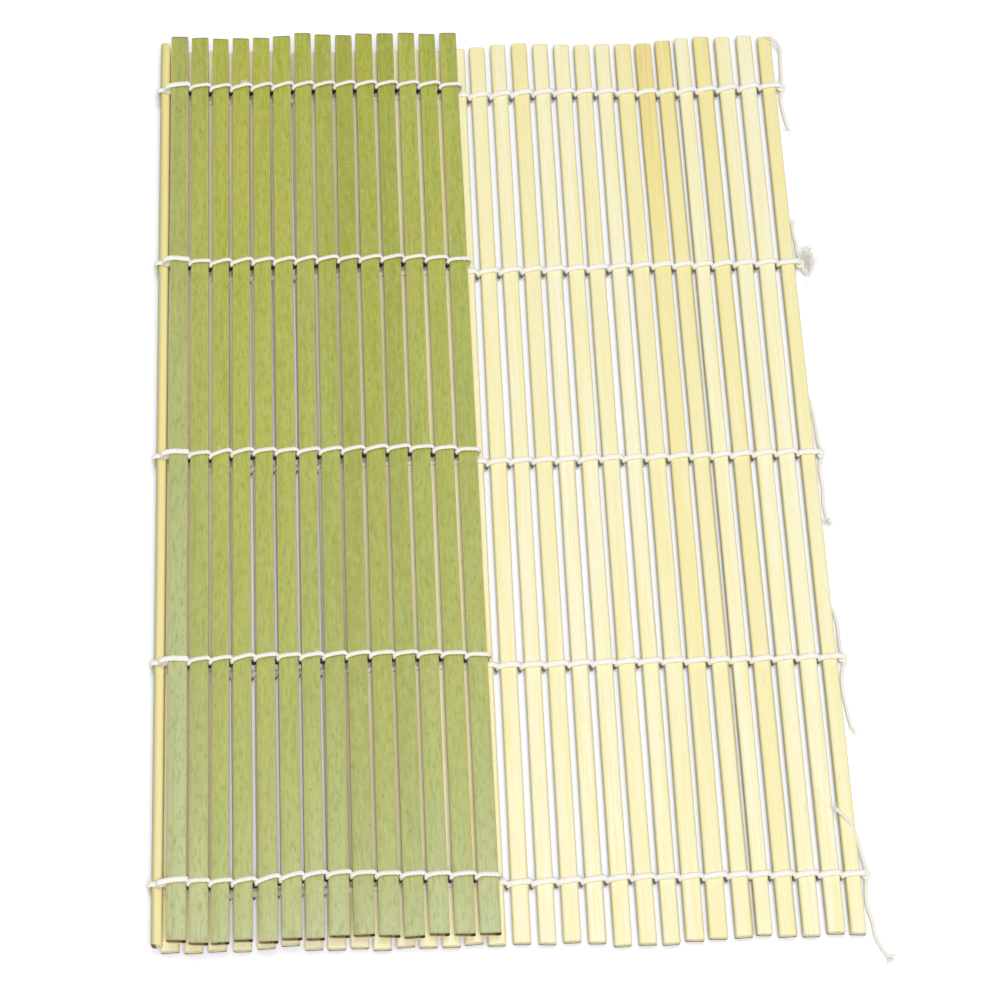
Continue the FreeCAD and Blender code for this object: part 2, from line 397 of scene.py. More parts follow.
class Surface:
    """A Principled material whose pattern follows a piece's own grain, in millimetres."""

    def __init__(self, name):
        self.material = bpy.data.materials.new(name)
        self.material.use_nodes = True
        self.tree = self.material.node_tree
        self.shader = self.tree.nodes["Principled BSDF"]
        self.grain = self.attribute("grain")
        self.place = self.parts("place")
        self.tone = self.parts("tone")
        self.base = None

    def node(self, kind, **settings):
        made = self.tree.nodes.new(kind)
        for key, value in settings.items():
            setattr(made, key, value)
        return made

    def join(self, source, socket):
        """Links a socket to another, or sets it to a value."""
        if isinstance(source, bpy.types.NodeSocket):
            self.tree.links.new(source, socket)
        else:
            socket.default_value = source

    def attribute(self, name):
        return self.node("ShaderNodeAttribute", attribute_name=name).outputs["Vector"]

    def parts(self, name):
        """The three numbers of an attribute."""
        made = self.node("ShaderNodeSeparateXYZ")
        self.join(self.attribute(name), made.inputs[0])
        return made.outputs

    def stretched(self, scales):
        made = self.node("ShaderNodeVectorMath", operation="MULTIPLY")
        self.join(self.grain, made.inputs[0])
        self.join(scales, made.inputs[1])
        return made.outputs[0]

    def clouds(self, scales, detail=3.0, roughness=0.55):
        """Noise from 0 to 1 with so many changes to the millimetre across, along and through."""
        made = self.node("ShaderNodeTexNoise")
        self.join(self.stretched(scales), made.inputs["Vector"])
        self.join(1.0, made.inputs["Scale"])
        self.join(detail, made.inputs["Detail"])
        self.join(roughness, made.inputs["Roughness"])
        return made.outputs["Fac"]

    def dots(self, scales):
        """Distance from the nearest of a crowd of scattered points."""
        made = self.node("ShaderNodeTexVoronoi")
        self.join(self.stretched(scales), made.inputs["Vector"])
        self.join(1.0, made.inputs["Scale"])
        return made.outputs["Distance"]

    def span(self, value, low, high, start=0.0, end=1.0):
        """Carries low to high smoothly onto start to end, and holds it there outside."""
        made = self.node("ShaderNodeMapRange", interpolation_type="SMOOTHSTEP")
        for number, source in enumerate((value, low, high, start, end)):
            self.join(source, made.inputs[number])
        return made.outputs[0]

    def combine(self, operation, first, second):
        made = self.node("ShaderNodeMath", operation=operation)
        self.join(first, made.inputs[0])
        self.join(second, made.inputs[1])
        return made.outputs[0]

    def times(self, first, second):
        return self.combine("MULTIPLY", first, second)

    def ground(self, share, first_code, second_code):
        """Starts the colour as a mix of two."""
        self.base = colour(first_code)
        self.paint(share, second_code)

    def paint(self, share, code):
        """Lays a colour over what is there, as far as share says."""
        made = self.node("ShaderNodeMix", data_type="RGBA")
        self.join(share, made.inputs[0])
        self.join(self.base, made.inputs[MIX_FIRST])
        self.join(colour(code), made.inputs[MIX_SECOND])
        self.base = made.outputs[MIX_RESULT]

    def across(self):
        """Distance from a slat's middle line."""
        return self.combine("ABSOLUTE", self.place[0], 0.0)

    def bump(self, height, strength, distance):
        made = self.node("ShaderNodeBump")
        self.join(strength, made.inputs["Strength"])
        self.join(distance * MM, made.inputs["Distance"])
        self.join(height, made.inputs["Height"])
        self.join(made.outputs[0], self.shader.inputs["Normal"])

    def finish(self, roughness, **constants):
        self.join(self.base, self.shader.inputs["Base Color"])
        self.join(roughness, self.shader.inputs["Roughness"])
        for name, value in constants.items():
            self.join(value, self.shader.inputs[name.replace("_", " ")])
        return self.material


def skin_material():
    """Waxy green outer skin: streaks, patches, grey bloom, small marks, worn edges and stained ends, with
    painted sheen paling the near end.
    """
    made = Surface("bamboo_skin")
    streaks = made.clouds((1.1, 0.05, 0.7), 4.0)
    ribs = made.clouds((7.0, 0.12, 1.0), 3.0)
    patches = made.clouds((0.3, 0.018, 0.7), 2.0)
    bloom = made.clouds((0.7, 0.16, 0.7), 5.0, 0.65)
    made.ground(made.span(streaks, 0.3, 0.7), "#9FA536", "#B6BC48")
    made.paint(made.span(patches, 0.42, 0.7, 0.0, 0.6), "#C2BD4E")
    made.paint(made.times(made.tone[0], 0.6), "#BEBA3B")
    made.paint(made.times(made.tone[2], 0.6), "#939930")
    # The second tone holds the slat's grey and, towards the near end, painted sheen
    usual = made.times(made.combine("MINIMUM", made.tone[1], 1.0), 0.4)
    grey = made.combine("ADD", made.span(bloom, 0.45, 0.75, 0.0, 0.4), usual)
    made.paint(grey, "#ABB379")
    # Painted sheen: a pale grey-green glare towards the near end
    made.paint(made.span(made.tone[1], 0.9, 2.1, 0.0, 0.6), "#C6CBA6")
    mark_skin(made, ribs)
    made.bump(ribs, 0.2, 0.05)
    roughness = made.span(bloom, 0.3, 0.7, 0.32, 0.46)
    return made.finish(roughness, Specular_IOR_Level=0.4, Coat_Weight=0.1, Coat_Roughness=0.3)


def mark_skin(made, ribs):
    """The skin's small marks, then its worn edges and its ends."""
    mottle = made.clouds((1.5, 0.4, 0.7), 4.0, 0.6)
    tan = made.clouds((1.3, 0.012, 0.7), 2.0)
    specks = made.clouds((2.2, 0.8, 0.7), 2.0)
    nicks = made.clouds((1.2, 0.8, 0.9), 2.0)
    made.paint(made.span(mottle, 0.48, 0.68, 0.0, 0.5), "#8B932F")
    made.paint(made.span(mottle, 0.5, 0.3, 0.0, 0.45), "#BFC364")
    made.paint(made.span(tan, 0.56, 0.72, 0.0, 0.4), "#B6A766")
    made.paint(made.span(ribs, 0.35, 0.65, 0.22, 0.0), "#878D38")
    made.paint(made.span(specks, 0.68, 0.75, 0.0, 0.7), "#6A6A2C")
    made.paint(made.span(nicks, 0.73, 0.78, 0.0, 0.7), "#DCD8A6")
    made.paint(made.span(made.across(), 1.7, 2.1, 0.0, 0.65), "#C6BC84")
    made.paint(made.span(made.place[1], 0.1, 0.7, 0.5, 0.0), "#7B6430")


def inner_material(name, side_code):
    """Pale split wood: fibres along the slat, straw edges, brown flecks, and sides darker towards the skin,
    partly their own colour and partly painted shade, with painted light on the covered slats.
    """
    made = Surface(name)
    fibres = made.clouds((5.0, 0.06, 5.0), 4.0)
    broad = made.clouds((0.8, 0.02, 0.8), 3.0)
    bands = made.clouds((1.6, 0.03, 1.6), 2.0)
    flecks = made.clouds((4.0, 0.16, 4.0), 2.0)
    made.ground(made.span(broad, 0.3, 0.7), "#FBF5CC", "#FDFAE2")
    made.paint(made.times(made.tone[0], 0.85), "#F3E496")
    made.paint(made.span(made.tone[0], 0.95, 1.5, 0.0, 0.8), "#DFBC58")
    made.paint(made.span(bands, 0.48, 0.66, 0.0, 0.6), "#F9ECA4")
    made.paint(made.span(bands, 0.45, 0.3, 0.0, 0.5), "#FEF3DA")
    made.paint(made.span(fibres, 0.4, 0.68, 0.0, 0.4), "#F2E4A8")
    made.paint(made.span(made.across(), 1.4, 2.1, 0.0, 0.35), "#E4D48C")
    # Painted light: covered slats are lightened against the shade of the upper layer over them
    painted_light = made.combine("MINIMUM", made.tone[1], COVERED_PAINTED_LIGHT)
    made.paint(made.times(painted_light, 0.9), "#FFF9DC")
    made.paint(made.span(flecks, 0.70, 0.78, 0.0, 0.5), "#B99A57")
    made.paint(made.times(made.span(made.place[0], -1.2, -1.75), made.tone[2]), "#A59B55")
    # Sides darker towards the skin, partly the wood's own colour and partly painted shade; covered slats get
    # less of it, as painted light
    side_share = made.span(painted_light, 0.0, 1.0, 0.75, 0.2)
    made.paint(made.times(made.span(made.place[2], 0.1, -0.9), side_share), side_code)
    made.bump(fibres, 0.3, 0.06)
    return made.finish(made.span(fibres, 0.3, 0.7, 0.4, 0.56), Specular_IOR_Level=0.22)


def end_material(name, painted_corner_shadow):
    """Cut ends: straw at the pale face and brown at the skin, with the dark dots of the fibre bundles,
    near-black painted shadow in patches towards the skin, and on the upper slats' ends near-black painted
    shadow at one corner.
    """
    made = Surface(name)
    clouds = made.clouds((1.2, 0.2, 1.2), 3.0)
    made.ground(clouds, "#E6D7A2", "#F8EFCC")
    made.paint(made.span(made.place[2], 0.4, -0.6, 0.0, 0.9), "#6B4A1E")
    patches = made.span(clouds, 0.5, 0.62, 0.0, 0.8)
    # Painted shadow: near-black patches towards the skin
    made.paint(made.times(made.span(made.place[2], 0.2, -0.7), patches), "#2B1B0A")
    if painted_corner_shadow:
        # Painted shadow: near-black at one corner of the end, towards the pale face
        shadowed_corner = made.span(made.place[0], 1.0, 1.6)
        made.paint(made.times(shadowed_corner, made.span(made.place[2], 0.9, 0.1)), "#1A120A")
    bundles = made.span(made.dots((3.8, 0.05, 3.8)), 0.12, 0.32, 0.75, 0.0)
    made.paint(bundles, "#8A6A38")
    made.bump(bundles, 0.4, 0.08)
    return made.finish(0.75, Specular_IOR_Level=0.2)


def cotton_material():
    """White cotton yarn with its fibres running round the plies, with painted shade deep in the gaps."""
    made = Surface("cotton_yarn")
    fibres = made.clouds((9.0, 2.2, 1.0), 3.0)
    soil = made.clouds((0.4, 0.25, 1.0), 2.0)
    made.ground(made.span(fibres, 0.3, 0.7), "#F7F2E8", "#FFFDF8")
    made.paint(made.span(soil, 0.5, 0.8, 0.0, 0.3), "#EFE6CE")
    made.paint(made.tone[0], "#DDD3B4")
    # Painted shade: near-black where the thread dips into a gap
    made.paint(made.place[0], "#17130B")
    made.bump(fibres, 0.5, 0.08)
    return made.finish(0.88, Sheen_Weight=0.15, Sheen_Roughness=0.5, Specular_IOR_Level=0.1)


# Slats

def spread(start, end, count):
    return [start + (end - start) * step / (count - 1) for step in range(count)]


def corner(middle, radius, start, end, count):
    """Points of a rounded edge, between two angles in degrees."""
    points = []
    for degrees in spread(start, end, count):
        angle = math.radians(degrees)
        points.append((middle[0] + radius * math.cos(angle), middle[1] + radius * math.sin(angle)))
    return points


def slat_outline(number):
    """Outline of a slat's section from its skin face round, and the material of each of its sides."""
    rounding = ROUND_SKIN_EDGE if number == FOLD_SLAT else SKIN_EDGE
    low = rounding - HALF_THICKNESS
    high = HALF_THICKNESS - PALE_EDGE
    skin_edge = HALF_WIDTH - rounding
    pale_edge = HALF_WIDTH - PALE_EDGE
    crown = spread(-skin_edge, skin_edge, SKIN_POINTS)
    outline = [(u, SKIN_CROWN * (u / skin_edge) ** 2 - HALF_THICKNESS) for u in crown]
    outline += corner((skin_edge, low + SKIN_CROWN), rounding, -60, 0, SKIN_CORNER_POINTS)
    outline += [(HALF_WIDTH, (low + high) / 2)]
    outline += corner((pale_edge, high), PALE_EDGE, 0, 90, PALE_CORNER_POINTS)
    outline += [(u, HALF_THICKNESS) for u in PALE_POINTS]
    outline += corner((-pale_edge, high), PALE_EDGE, 90, 180, PALE_CORNER_POINTS)
    outline += [(-HALF_WIDTH, (low + high) / 2)]
    outline += corner((-skin_edge, low + SKIN_CROWN), rounding, 180, 240, SKIN_CORNER_POINTS)
    kinds = [SKIN] * (SKIN_POINTS - 1 + CORNER_SKIN_SIDES)
    kinds += [INNER] * (len(outline) - len(kinds) - CORNER_SKIN_SIDES) + [SKIN] * CORNER_SKIN_SIDES
    return outline, kinds


def slat_girth(number):
    """A slat's width as a share of the regular one."""
    usual = OPEN_GIRTH if number < FIRST_COVERED else 1.0
    if number >= FIRST_WIDE:
        usual = WIDE_GIRTH
    return UNEVEN_GIRTHS.get(number, usual)


class Wobble:
    """The small faults of one slat: how it leans, bows, twists and was cut."""

    def __init__(self, number):
        chance = random.Random(FAULT_SEED + number)
        self.lean = chance.uniform(-LEAN, LEAN)
        self.bow = chance.uniform(-BOW, BOW)
        self.twist = math.radians(chance.uniform(-TWIST, TWIST))
        self.width = chance.uniform(*WIDTHS) * slat_girth(number)
        self.near = HALF_LENGTH + chance.uniform(*CUTS) + read_drift(NEAR_REACH, number)
        self.far = HALF_LENGTH + chance.uniform(*CUTS) + read_drift(FAR_REACH, number)
        self.slants = [chance.uniform(-SLANT, SLANT) for end in range(2)]
        self.corners = [chance.uniform(*END_CORNERS) for end in range(2)]
        self.faces = END_FACES
        if number == FOLD_SLAT:
            self.corners = FOLD_CORNERS
            self.faces = FOLD_FACES
        self.taper = WIDE_TAPER if number >= FIRST_WIDE else 0.0
        self.seed = number * 17.3
        self.near_tone, self.far_tone = slat_tones(number)
        self.fade = UPPER_SHEEN_FADE if number > FOLD_SLAT else LOWER_SHEEN_FADE

    def tone(self, v):
        """The slat's tone at v, paler towards the near end as painted sheen."""
        share = min(max((v / HALF_LENGTH + 1) / 2, 0.0), 1.0)
        return self.near_tone.lerp(self.far_tone, share ** self.fade)

    def middle(self, v):
        """How far the slat's middle line is off to the side at v."""
        share = v / HALF_LENGTH
        ripple = noise.noise((v * 0.03, self.seed, 0.0))
        return self.lean * share + self.bow * (1 - share ** 2) + RIPPLE * ripple

    def girth(self, v):
        """The slat's width at v, as a share of the regular one."""
        taper = 1 - self.taper * v / HALF_LENGTH
        return self.width * taper * (1 + GIRTH_RIPPLE * noise.noise((v * 0.05, self.seed, 4.0)))


def end_inset(distance, radius):
    """How far a rounded end has come in, so far from its tip."""
    if distance >= radius:
        return 0.0
    return radius - math.sqrt(radius ** 2 - (radius - distance) ** 2)


def slat_stations(wobble):
    """Places along a slat, closer together at its rounded ends."""
    near = [-wobble.near + step for step in TIP_STEPS]
    far = [wobble.far - step for step in reversed(TIP_STEPS)]
    return near + spread(near[-1], far[0], STATION_COUNT)[1:-1] + far


def slat_ring(shape, slat, wobble, outline, v):
    """Points of one section of a slat."""
    ends = (wobble.near + v, wobble.far - v)
    end = 0 if ends[0] < ends[1] else 1
    side_inset = end_inset(max(ends[end], 0.0), wobble.corners[end])
    face_inset = end_inset(max(ends[end], 0.0), wobble.faces[end])
    wide = wobble.girth(v) * (HALF_WIDTH - side_inset) / HALF_WIDTH
    thick = (HALF_THICKNESS - face_inset) / HALF_THICKNESS
    turn = wobble.twist * v / HALF_LENGTH
    slant = wobble.slants[end] if ends[end] < SLANTED_REACH else 0.0
    ring = []
    for u, w in outline:
        along = v + slant * u
        turned_u = u * wide * math.cos(turn) - w * thick * math.sin(turn)
        turned_w = u * wide * math.sin(turn) + w * thick * math.cos(turn)
        place = slat.at(turned_u + wobble.middle(v) + slat.drift(v), along, turned_w + slat.shift)
        grain = (u, v + wobble.seed, w + wobble.seed)
        ring.append(shape.add(place, grain, (u, max(ends[end], 0.0), w), wobble.tone(v)))
    return ring


def slat_cap(shape, slat, wobble, outline, ring, outward):
    """The cut end of a slat, a little crowned."""
    v = wobble.far if outward > 0 else -wobble.near
    end = 1 if outward > 0 else 0
    rings = [ring]
    for share, rise in CAP_RINGS:
        inner = []
        reach = share * (HALF_WIDTH - wobble.corners[end]) / HALF_WIDTH
        thick = share * (HALF_THICKNESS - wobble.faces[end]) / HALF_THICKNESS
        for u, w in outline:
            along = v + outward * rise + wobble.slants[end] * u * reach
            place = slat.at(u * reach + wobble.middle(v) + slat.drift(v), along, w * thick + slat.shift)
            grain = (u * share, v + wobble.seed, w * share + wobble.seed)
            inner.append(shape.add(place, grain, (u * share, 0.0, w * share), wobble.tone(v)))
        rings.append(inner)
    for ring_out, ring_in in zip(rings, rings[1:]):
        shape.bridge(ring_out, ring_in, [END] * len(outline))
    tip = slat.at(wobble.middle(v) + slat.drift(v), v + outward * CAP_RISE, slat.shift)
    tip = shape.add(tip, (0, v + wobble.seed, wobble.seed), (0.0, 0.0, 0.0), wobble.tone(v))
    shape.fan(rings[-1], tip, END)


def slat_tones(number):
    """Near and far end's tone: straw, painted light if covered and stained if pale, yellow, grey and deep if
    green, with painted sheen at the near end.
    """
    chance = random.Random(TONE_SEED + number)
    warm = chance.uniform(0.0, USUAL_WARMTH)
    if number > FOLD_SLAT:
        warm = YELLOW_SLATS.get(number, warm)
        grey = GREY_SLATS.get(number, 0.0)
        deep = DEEP_SLATS.get(number, 0.0)
        # Painted sheen: the near end's tone carries extra grey
        return Vector((warm, grey + NEAR_PAINTED_SHEEN, deep)), Vector((warm, grey, deep))
    # Painted sheen: lower slats have less straw at the near end
    near, far = STRAW_SLATS.get(number, (warm, warm + SHEEN_PALING))
    # Painted light on covered slats against the upper layer's shade, rising over the first few
    painted_light = 0.0
    if FIRST_COVERED <= number <= LAST_LOWER:
        painted_light = min((number - FIRST_COVERED + 1) * PAINTED_LIGHT_STEP, COVERED_PAINTED_LIGHT)
    stained = STAINED_SLATS.get(number, 0.0)
    return Vector((near, painted_light, stained)), Vector((far, painted_light, stained))


def make_slat(slat, materials):
    outline, kinds = slat_outline(slat.number)
    wobble = Wobble(slat.number)
    shape = Shape()
    stations = slat_stations(wobble)
    rings = [slat_ring(shape, slat, wobble, outline, v) for v in stations]
    rim = [END] * len(outline)
    for place in range(len(stations) - 1):
        cut = min(stations[place + 1] + wobble.near, wobble.far - stations[place]) < END_RIM
        shape.bridge(rings[place], rings[place + 1], rim if cut else kinds)
    slat_cap(shape, slat, wobble, outline, rings[0], -1)
    slat_cap(shape, slat, wobble, outline, rings[-1], 1)
    piece = shape.make(f"bamboo_{slat.name}", materials)
    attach(piece, slat.name)
    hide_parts(slat.name)


# Threads

class Route:
    """A thread's control points, the shape it belongs to, and its width, slat and row, and soil."""

    radius = THREAD_RADIUS
    plies = PLY_COUNT
    sides = YARN_SIDES
    depth = PLY_DEPTH
    taper = 0.0

    def __init__(self, shape, points, wide=1.0, wrap=None, soil=0.0):
        self.shape = shape
        self.points = points
        self.wide = wide
        self.wrap = wrap
        self.soil = soil


class Fibre(Route):
    """A single fibre, which grows thinner to its end."""

    plies = 1
    sides = FIBRE_SIDES
    depth = 0.0
    taper = FIBRE_TAPER

    def __init__(self, shape, points, thickness, soil=0.0):
        super().__init__(shape, points, soil=soil)
        self.radius = FIBRE_RADIUS * thickness


def smooth_lines(routes):
    """The points along each route's NURBS spline."""
    curve = bpy.data.curves.new("routes", "CURVE")
    curve.dimensions = "3D"
    for route in routes:
        spline = curve.splines.new("NURBS")
        spline.points.add(len(route.points) - 1)
        for point, place in zip(spline.points, route.points):
            point.co = (*place, 1.0)
        spline.order_u = 3
        spline.use_endpoint_u = True
        spline.resolution_u = ROUTE_STEPS
    holder = bpy.data.objects.new("routes", curve)
    mesh = bpy.data.meshes.new_from_object(holder)
    joined = {tuple(sorted(edge.vertices)) for edge in mesh.edges}
    lines = [[]]
    for vertex in mesh.vertices:
        if lines[-1] and (vertex.index - 1, vertex.index) not in joined:
            lines.append([])
        lines[-1].append(vertex.co.copy())
    bpy.data.objects.remove(holder)
    bpy.data.curves.remove(curve)
    bpy.data.meshes.remove(mesh)
    return lines


def gap_shade(route, point):
    """How much painted shade a thread's point gets deep in a gap, less on the far side of its row."""
    if route.wrap is None:
        return 0.0
    slat, row = route.wrap
    u, v, w = slat.inside(point)
    folded = (LAST_LOWER, 1), (FOLD_SLAT, 1), (FOLD_SLAT, -1), (FOLD_SLAT + 1, -1)
    if (slat.number, 1 if u > 0 else -1) in folded:
        return 0.0
    start = UPPER_DARK if slat.number > FOLD_SLAT else LOWER_DARK
    depth = min(max((start - abs(w)) / DARK_SPAN, 0.0), 1.0)
    if slat.number <= LAST_LOWER:
        depth *= LOWER_SHADE
    gap = min(max(slat.number + (0.5 if u > 0 else -0.5), 1), SLAT_COUNT)
    return depth if v < row_place(row, gap) else FAR_SHADE * depth


def line_frames(line):
    """Each point's direction and a sideways direction that turns as little as it can."""
    ahead = [(after - before).normalized() for before, after in zip(line, line[1:])]
    tangents = [ahead[0]] + [(a + b).normalized() for a, b in zip(ahead, ahead[1:])] + [ahead[-1]]
    side = ALONG if abs(tangents[0].dot(ALONG)) < 0.7 else tangents[0].orthogonal().normalized()
    frames = []
    for tangent in tangents:
        side = (side - tangent * side.dot(tangent)).normalized()
        frames.append((tangent, side))
    return frames


def yarn_stations(line, radius):
    """Sections of a yarn with its rounded ends: place, direction, sideways direction, distance and size."""
    stations = []
    run = 0.0
    for place, (point, (tangent, side)) in enumerate(zip(line, line_frames(line))):
        if place:
            run += (point - line[place - 1]).length / MM
        stations.append((point, tangent, side, run, 1.0))
    opening, closing = [], []
    for reach, size in END_BULGE:
        point, tangent, side = stations[0][:3]
        opening.append((point - tangent * radius * MM * reach, tangent, side, -radius * reach, size))
        point, tangent, side = stations[-1][:3]
        closing.append((point + tangent * radius * MM * reach, tangent, side, run + radius * reach, size))
    return opening + stations + closing[::-1], run


def yarn_ring(route, station, run, seed):
    """Points of one section of a yarn."""
    point, tangent, side, along, size = station
    other = tangent.cross(side)
    marks = (gap_shade(route, point), 0.0, 0.0), (route.soil, 0.0, 0.0)
    if route.taper:
        size *= max(1 - route.taper, 1 - route.taper * max(along, 0.0) / max(run, 0.01))
    ring = []
    for step in range(route.sides):
        angle = 2 * math.pi * step / route.sides
        lobe = math.cos(route.plies * (angle - 2 * math.pi * along / PLY_TURN + seed))
        reach = route.radius * size * (1 + route.depth * lobe) * MM
        place = point + (side * math.cos(angle) * route.wide + other * math.sin(angle)) * reach
        grain = (angle * route.radius, along + seed * 31, seed * 7)
        ring.append(route.shape.add(place, grain, *marks))
    return ring


def add_yarn(route, line, seed):
    """A twisted yarn along a line, or a plain fibre if it has one ply."""
    stations, run = yarn_stations(line, route.radius)
    rings = [yarn_ring(route, station, run, seed) for station in stations]
    for ring, following in zip(rings, rings[1:]):
        route.shape.bridge(ring, following)
    start = line[0] - stations[0][1] * route.radius * MM
    end = line[-1] + stations[-1][1] * route.radius * MM
    for ring, place in ((rings[0], start), (rings[-1], end)):
        marks = (gap_shade(route, place), 0.0, 0.0), (route.soil, 0.0, 0.0)
        route.shape.fan(ring, route.shape.add(place, (0, 0, seed * 7), *marks))


def row_place(row, number):
    """Where a row of thread crosses a slat, along the slat."""
    return ROW_PLACES[row] + read_drift(ROW_DRIFT[row], number)


def lane(hinge_number, row, side):
    """Where a strand passes a gap, along the slats: side 1 is the far lane, -1 the near one."""
    wander = WANDER * noise.noise((hinge_number * 0.35, row * 9.7, 2.0))
    jitter = JITTER * noise.noise((hinge_number * 3.1, row * 5.3, 7.0 + side))
    crossing = CROSSINGS[row] * (FOLD_CROSSING if hinge_number in (LAST_LOWER, FOLD_SLAT) else 1.0)
    return row_place(row, hinge_number + 0.5) + side * crossing + wander + jitter


def gap_ends(slat, hinge, row, side):
    """A strand's end at the hinge axis in the slat's u, v, w, with the pale bend's offset there."""
    u, v, w = slat.inside(hinge.pivot)
    bend = (PALE_HEIGHT - w) * math.tan(hinge.half_turn)
    if hinge.half_turn == 0:
        before, after = SLATS[hinge.number - 1], SLATS[hinge.number]
        u += (before.drift(ROW_PLACES[row]) + after.drift(ROW_PLACES[row])) / 2
    return u, v + lane(hinge.number, row, side), w, bend


def strand_end(slat, row, pale, outgoing):
    """Control points of a strand from the gap beside a slat up to the slat's face, gap first."""
    sign = 1 if outgoing else -1
    number = slat.number if outgoing else slat.number - 1
    if number == 0:
        return edge_end(slat, row, pale, KNOT_PATH)
    if number == SLAT_COUNT:
        return edge_end(slat, row, pale, LOOP_PATH)
    far_lane = -sign if pale else sign
    u, v, w, bend = gap_ends(slat, HINGES[number - 1], row, far_lane)
    risen = v + STEEP_RISE if far_lane < 0 else v
    middle = slat.drift(ROW_PLACES[row])
    if pale and bend > FLAT_BEND:
        tucked = v + FOLD_TUCK
        inner = u - sign * (bend + FOLD_RUN)
        return [(u, v, w), (u - sign * bend, tucked, PALE_HEIGHT), (inner, tucked, PALE_HEIGHT + FOLD_LIFT)]
    dips = slat.number > FOLD_SLAT and far_lane < 0 and bend < FLAT_BEND
    deep = v - DEEP_DIP if dips else v
    if pale:
        return [(u, deep, w), (u, (v + risen) / 2, PALE_HEIGHT)]
    low = -SKIN_HEIGHT
    leaning = (u - sign * GAP_LEAN, v, low)
    return [(u, deep, w), (u, deep, -GAP_HEIGHT), leaning, (middle + sign * LANE_REACH, risen, low)]


def edge_end(slat, row, pale, path):
    """A strand's points between an edge of the mat and the face of the slat there."""
    v = row_place(row, slat.number)
    face = PALE_HEIGHT if pale else -SKIN_HEIGHT
    shift = slat.drift(v)
    return [(u + shift, v, face * share) for u, share in path]


def wrap_routes(slat, shape):
    """The two strands of every row that cross one slat, split at the hinge axes on both sides."""
    routes = []
    for row in range(len(ROW_PLACES)):
        for pale in (True, False):
            points = strand_end(slat, row, pale, False) + strand_end(slat, row, pale, True)[::-1]
            shifts = [0.0] + [slat.shift] * (len(points) - 2) + [0.0]
            points = [slat.at(u, v, w + shift) for (u, v, w), shift in zip(points, shifts)]
            routes.append(Route(shape, points, wide=THREAD_WIDE, wrap=(slat, row)))
        if (slat.number, row) in TUFTS:
            chance = random.Random(slat.number)
            root = slat.at(LANE_REACH, row_place(row, slat.number) + CROSSINGS[row], -SKIN_HEIGHT)
            routes += fray(shape, root, Vector(TUFT_AIM), chance, TUFTS[slat.number, row], TUFT_LENGTH)
    return routes


def knot_line(middle, size, turn):
    """Control points of a tight overhand knot."""
    points = []
    for step in range(KNOT_STEPS + 1):
        angle = 2 * math.pi * step / KNOT_STEPS
        reach = 2 + math.cos(3 * angle)
        flat = Vector((reach * math.cos(2 * angle), reach * math.sin(2 * angle), 1.5 * math.sin(3 * angle)))
        points.append(middle + MM * size * (Matrix.Rotation(turn, 3, "Y") @ flat))
    return points


# The loose ends of each thread, from its knot, as the photograph shows them: right, away and up
LOOSE_ENDS = (
    (
        ((0.0, -0.6, 0.0), (-0.4, -3.0, -0.5), (-0.5, -6.8, -1.2), (0.6, -10.7, -1.6), (1.0, -15.5, -1.7),
         (3.2, -18.6, -1.7)),
        ((0.2, 0.8, 0.0), (-0.5, 4.0, 0.3), (-1.3, 8.4, 0.5), (-2.3, 11.6, 1.4), (-4.1, 13.7, 1.8),
         (-5.6, 15.2, 1.7)),
    ),
    (
        ((0.6, -0.8, 0.0), (-0.6, -3.0, -0.6), (-0.7, -7.4, -1.3), (-0.2, -11.5, -1.7), (0.3, -15.6, -1.7),
         (0.6, -17.0, -1.7)),
        ((0.0, 0.8, 0.0), (-0.4, 2.6, -0.3), (-0.2, 5.8, -1.2), (-0.2, 10.3, -1.6), (-0.9, 13.0, -1.6)),
    ),
    (
        ((0.2, -0.8, 0.0), (-0.6, -2.6, -0.5), (-0.4, -5.6, -1.2), (0.0, -9.0, -1.7), (-0.5, -12.6, -1.7),
         (0.0, -16.6, -1.7)),
        ((0.3, 0.7, 0.0), (-0.4, 3.5, -0.4), (-0.3, 7.8, -1.3), (-0.6, 12.4, -1.7), (-0.9, 14.6, -1.7)),
    ),
    (
        ((0.4, -0.7, 0.0), (0.9, -1.9, -0.8), (2.0, -2.4, -1.5), (2.9, -1.3, -1.7), (2.7, 0.3, -1.7)),
        ((0.2, 0.8, 0.0), (-0.5, 3.4, -0.4), (-0.2, 6.4, -1.2), (-0.8, 9.6, -1.5), (-0.7, 12.6, -1.6)),
    ),
    (
        ((0.2, -0.8, 0.0), (-0.5, -2.4, -0.5), (-0.1, -5.0, -1.3), (0.3, -8.4, -1.7), (0.9, -11.4, -1.7)),
        ((0.1, 0.8, 0.0), (0.5, 4.4, -0.6), (0.7, 8.6, -0.8), (0.9, 11.9, 0.3), (0.0, 13.6, 1.5),
         (-1.5, 14.4, 1.75)),
    ),
)

# Soil on the loose ends, and the lowest height of a loose fibre
END_SOIL = 0.25
LOWEST_FIBRE = 0.1

# Fibres at a loose end, more of them at two ends by row and end, and how they spread, reach and bend
FRAY_COUNT = 16
FRAYED_ENDS = {(0, 0): 50, (2, 0): 70}
FRAY_LENGTH = 3.0
FRAY_ROOT = 0.5
FRAY_START = 0.35
FRAY_SPREAD = 0.55
FRAY_REACHES = (0.5, 1.1)
FRAY_BENDS = ((0.5, 0.35), (0.9, 0.3))
FRAY_THICKNESS = (0.7, 1.4)

# The tangle at one row: fibres, the bends of each, and how they lie
FRIZZY_ROW = 3
FRIZZ_COUNT = 130
FRIZZ_BENDS = 5
FRIZZ_CURL = 0.9
FRIZZ_STEPS = (0.5, 1.1)
FRIZZ_THICKNESS = (0.7, 1.3)
FRIZZ_SOIL = 0.4


